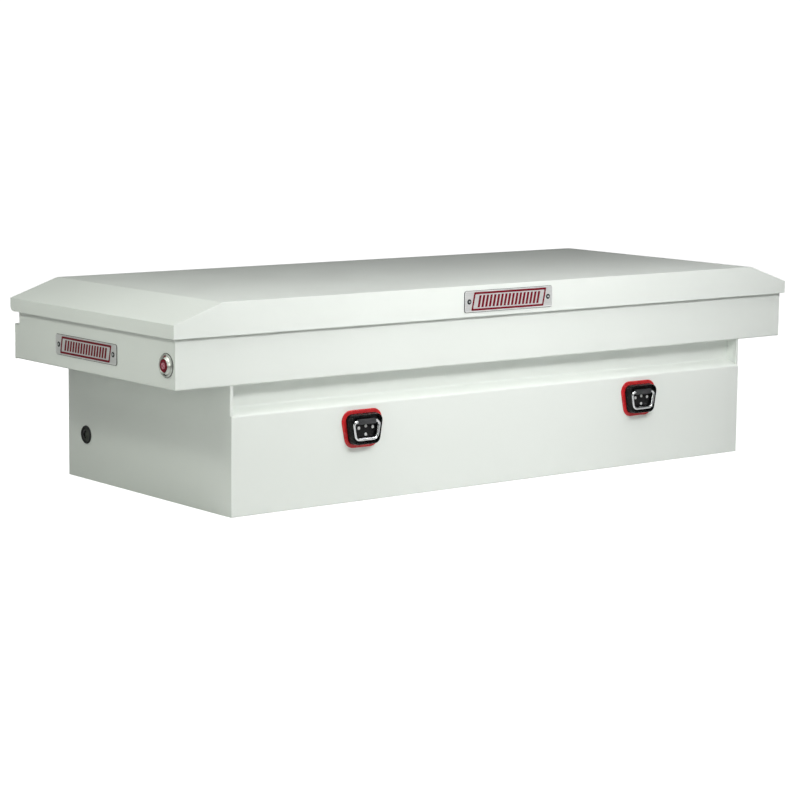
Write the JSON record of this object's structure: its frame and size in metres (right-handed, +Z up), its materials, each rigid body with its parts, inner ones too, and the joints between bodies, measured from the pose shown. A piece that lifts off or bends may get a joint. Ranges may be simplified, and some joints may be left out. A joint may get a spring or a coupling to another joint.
{
  "type": "truck tool box",
  "caption": "Crossover truck tool box with a rear-hinged sloped-end lid, saddle wings, recessed front channel, end push-button locks and front tie-down rings.",
  "frame": {"origin": "middle of the tub's underside", "axes": "+X along the box's length, -Y towards the face with the tie-downs, +Z up"},
  "size_m": [1.822, 0.6832, 0.4595],
  "materials": {
    "white_enamel": "white powder coat, satin",
    "inner_enamel": "white powder coat, satin",
    "rubber": "matt black",
    "zinc_steel": "zinc plated",
    "black_enamel": "gloss black",
    "chrome": "polished",
    "red_plastic": "glossy red",
    "black_plastic": "fine texture black",
    "grey_plastic": "dark grey",
    "plate_aluminium": "satin, printed red pattern"
  },
  "bodies": {
    "body": {"front_panel": "white_enamel", "back_panel": "white_enamel", "floor_pan": "white_enamel", "weather_seal": "rubber", "hinge_leaf_body": "white_enamel", "hinge_pin": "zinc_steel", "rod_guide": "zinc_steel", "left_end_panel": "white_enamel", "left_wing": "white_enamel", "left_body_bracket": "zinc_steel", "left_latch_housing": "zinc_steel", "left_lock_bezel": "chrome", "left_lock_nut": "zinc_steel", "left_pod_flange": "red_plastic", "left_pod_body": "black_plastic", "left_ring_retainer": "grey_plastic", "left_end_nameplate": "plate_aluminium", "left_grommet": "rubber", "right_end_panel": "white_enamel", "right_wing": "white_enamel", "right_body_bracket": "zinc_steel", "right_latch_housing": "zinc_steel", "right_lock_bezel": "chrome", "right_lock_nut": "zinc_steel", "right_pod_flange": "red_plastic", "right_pod_body": "black_plastic", "right_ring_retainer": "grey_plastic", "right_end_nameplate": "plate_aluminium", "right_grommet": "rubber"},
    "lid": {"lid_shell": "white_enamel", "lid_front_channel": "inner_enamel", "lid_rear_channel": "inner_enamel", "lid_stiffener": "inner_enamel", "hinge_leaf_lid": "white_enamel", "lid_nameplate": "plate_aluminium", "left_lid_end_channel": "inner_enamel", "left_striker": "zinc_steel", "left_lid_bracket": "zinc_steel", "right_lid_end_channel": "inner_enamel", "right_striker": "zinc_steel", "right_lid_bracket": "zinc_steel"},
    "latch_linkage": {"cross_rod": "zinc_steel", "left_pawl": "zinc_steel", "right_pawl": "zinc_steel"},
    "left_spring_tube": {"left_gas_cylinder": "black_enamel"},
    "left_spring_rod": {"left_gas_rod": "zinc_steel"},
    "left_hook": {"left_latch_hook": "zinc_steel"},
    "left_button": {"left_push_button": "red_plastic"},
    "left_key": {"left_key_plug": "chrome"},
    "left_ring": {"left_d_ring": "chrome"},
    "right_spring_tube": {"right_gas_cylinder": "black_enamel"},
    "right_spring_rod": {"right_gas_rod": "zinc_steel"},
    "right_hook": {"right_latch_hook": "zinc_steel"},
    "right_button": {"right_push_button": "red_plastic"},
    "right_key": {"right_key_plug": "chrome"},
    "right_ring": {"right_d_ring": "chrome"}
  },
  "joints": [
    {"name": "lid_hinge", "type": "hinge", "parent": "body", "child": "lid", "pos_m": [0, 0.3168, 0.383], "axis": [-1, 0, 0], "range_deg": [0, 65]},
    {"name": "latch_linkage_turn", "type": "hinge", "parent": "body", "child": "latch_linkage", "pos_m": [0, -0.258, 0.331], "axis": [-1, 0, 0], "range_deg": [0, 10.74], "stiffness_Nm_per_rad": 0.6, "springref_deg": -28.65},
    {"name": "left_spring_tube_swing", "type": "hinge", "parent": "body", "child": "left_spring_tube", "pos_m": [-0.735, 0.28, 0.24], "axis": [-1, 0, 0], "range_deg": [0, 28.52]},
    {"name": "left_spring_rod_slide", "type": "slide", "parent": "left_spring_tube", "child": "left_spring_rod", "axis": [0, -0.5274, 0.8496], "range_m": [0, 0.08855]},
    {"name": "left_hook_turn", "type": "hinge", "parent": "body", "child": "left_hook", "pos_m": [-0.85, -0.272, 0.352], "axis": [1, 0, 0], "range_deg": [0, 24], "stiffness_Nm_per_rad": 0.1, "springref_deg": -34.38},
    {"name": "left_button_push", "type": "slide", "parent": "body", "child": "left_button", "axis": [1, 0, 0], "range_m": [0, 0.006]},
    {"name": "left_key_turn", "type": "hinge", "parent": "left_button", "child": "left_key", "pos_m": [-0.9, -0.293, 0.331], "axis": [1, 0, 0], "range_deg": [0, 90]},
    {"name": "left_ring_swing", "type": "hinge", "parent": "body", "child": "left_ring", "pos_m": [-0.417, -0.3436, 0.1795], "axis": [-1, 0, 0], "range_deg": [0, 110]},
    {"name": "right_spring_tube_swing", "type": "hinge", "parent": "body", "child": "right_spring_tube", "pos_m": [0.735, 0.28, 0.24], "axis": [-1, 0, 0], "range_deg": [0, 28.52]},
    {"name": "right_spring_rod_slide", "type": "slide", "parent": "right_spring_tube", "child": "right_spring_rod", "axis": [0, -0.5274, 0.8496], "range_m": [0, 0.08855]},
    {"name": "right_hook_turn", "type": "hinge", "parent": "body", "child": "right_hook", "pos_m": [0.85, -0.272, 0.352], "axis": [1, 0, 0], "range_deg": [0, 24], "stiffness_Nm_per_rad": 0.1, "springref_deg": -34.38},
    {"name": "right_button_push", "type": "slide", "parent": "body", "child": "right_button", "axis": [-1, 0, 0], "range_m": [0, 0.006]},
    {"name": "right_key_turn", "type": "hinge", "parent": "right_button", "child": "right_key", "pos_m": [0.9, -0.293, 0.331], "axis": [1, 0, 0], "range_deg": [0, 90]},
    {"name": "right_ring_swing", "type": "hinge", "parent": "body", "child": "right_ring", "pos_m": [0.417, -0.3436, 0.1795], "axis": [-1, 0, 0], "range_deg": [0, 110]}
  ],
  "couplings": [
    {"joint": "left_spring_tube_swing", "follows": "lid_hinge", "ratio": 0.4387},
    {"joint": "left_spring_rod_slide", "follows": "lid_hinge", "m_per_rad": 0.078044},
    {"joint": "left_button_push", "follows": "latch_linkage_turn", "m_per_rad": 0.032},
    {"joint": "right_spring_tube_swing", "follows": "lid_hinge", "ratio": 0.4387},
    {"joint": "right_spring_rod_slide", "follows": "lid_hinge", "m_per_rad": 0.078044},
    {"joint": "right_button_push", "follows": "latch_linkage_turn", "m_per_rad": 0.032}
  ]
}
